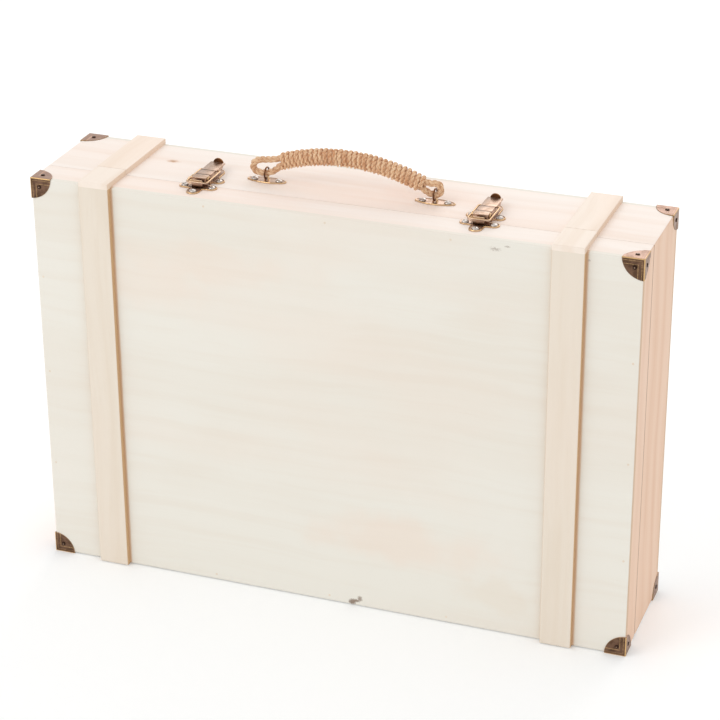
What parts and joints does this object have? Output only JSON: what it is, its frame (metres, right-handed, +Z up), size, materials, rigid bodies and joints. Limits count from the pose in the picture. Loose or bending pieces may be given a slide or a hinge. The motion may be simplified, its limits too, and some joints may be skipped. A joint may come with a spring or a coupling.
{
  "type": "wooden carrying case",
  "caption": "Shallow wooden box case with a hinged lid, battens, metal corner protectors, two draw latches and a rope handle.",
  "frame": {"origin": "bottom centre of the whole object, on the plane of the four bottom corner protectors", "axes": "+X to the right along the length, +Y from the lid towards the back panel, +Z up towards the handle"},
  "size_m": [0.4726, 0.1058, 0.3531],
  "materials": {
    "panel_wood": "sanded bare plywood",
    "rail_wood": "sanded bare pine",
    "batten_wood": "sanded bare pine",
    "aged_bronze": "antique finish with worn bright edges",
    "latch_bronze": "satin bronze with golden worn edges",
    "hinge_brass": "satin",
    "nickel_screw": "nickel plated",
    "plain_steel": "bare",
    "jute_rope": "twisted jute",
    "jute_twine": "wound jute twine"
  },
  "bodies": {
    "base": {"back_panel": "panel_wood", "base_rail_top": "rail_wood", "base_rail_bottom": "rail_wood", "base_rail_left": "rail_wood", "base_rail_right": "rail_wood", "base_batten_left": "batten_wood", "base_batten_right": "batten_wood", "corner_back_bottom_left": "aged_bronze", "corner_back_bottom_right": "aged_bronze", "corner_back_top_left": "aged_bronze", "corner_back_top_right": "aged_bronze", "base_corner_nails": "aged_bronze", "base_panel_brads": "plain_steel", "latch_base_left": "latch_bronze", "latch_base_right": "latch_bronze", "latch_base_screws": "nickel_screw", "latch_pin_left": "plain_steel", "latch_pin_right": "plain_steel", "hinge_base_leaf_left": "hinge_brass", "hinge_base_leaf_right": "hinge_brass", "hinge_base_screws": "plain_steel", "hinge_pin_left": "plain_steel", "hinge_pin_right": "plain_steel", "handle_plate_left": "latch_bronze", "handle_plate_right": "latch_bronze", "handle_screws": "nickel_screw"},
    "lid": {"front_panel": "panel_wood", "lid_rail_top": "rail_wood", "lid_rail_bottom": "rail_wood", "lid_rail_left": "rail_wood", "lid_rail_right": "rail_wood", "front_batten_left": "batten_wood", "front_batten_right": "batten_wood", "lid_batten_left": "batten_wood", "lid_batten_right": "batten_wood", "corner_front_bottom_left": "aged_bronze", "corner_front_bottom_right": "aged_bronze", "corner_front_top_left": "aged_bronze", "corner_front_top_right": "aged_bronze", "lid_corner_nails": "aged_bronze", "lid_panel_brads": "plain_steel", "strike_plate_left": "latch_bronze", "strike_plate_right": "latch_bronze", "strike_screws": "nickel_screw", "hinge_lid_leaf_left": "hinge_brass", "hinge_lid_leaf_right": "hinge_brass", "hinge_lid_screws": "plain_steel"},
    "left_lever": {"latch_lever_left": "latch_bronze"},
    "left_loop": {"latch_loop_left": "latch_bronze"},
    "right_lever": {"latch_lever_right": "latch_bronze"},
    "right_loop": {"latch_loop_right": "latch_bronze"},
    "handle": {"handle_rope": "jute_rope", "grip_binding": "jute_twine", "handle_ring_left": "aged_bronze", "handle_ring_right": "aged_bronze"}
  },
  "joints": [
    {"name": "lid_hinge", "type": "hinge", "parent": "base", "child": "lid", "pos_m": [0, -0.02, 0.003], "axis": [1, 0, 0], "range_deg": [0, 105]},
    {"name": "left_lever_pivot", "type": "hinge", "parent": "base", "child": "left_lever", "pos_m": [-0.109, -0.0198, 0.3261], "axis": [1, 0, 0], "range_deg": [0, 100]},
    {"name": "left_loop_pivot", "type": "hinge", "parent": "left_lever", "child": "left_loop", "pos_m": [-0.109, -0.0014, 0.3259], "axis": [1, 0, 0], "range_deg": [-55, 0]},
    {"name": "right_lever_pivot", "type": "hinge", "parent": "base", "child": "right_lever", "pos_m": [0.109, -0.0198, 0.3261], "axis": [1, 0, 0], "range_deg": [0, 100]},
    {"name": "right_loop_pivot", "type": "hinge", "parent": "right_lever", "child": "right_loop", "pos_m": [0.109, -0.0014, 0.3259], "axis": [1, 0, 0], "range_deg": [-55, 0]},
    {"name": "handle_swing", "type": "hinge", "parent": "base", "child": "handle", "pos_m": [0, 0.0041, 0.32705], "axis": [1, 0, 0], "range_deg": [-80, 80]}
  ],
  "couplings": [
    {"joint": "left_loop_pivot", "follows": "left_lever_pivot", "ratio": -0.55},
    {"joint": "right_loop_pivot", "follows": "right_lever_pivot", "ratio": -0.55}
  ]
}
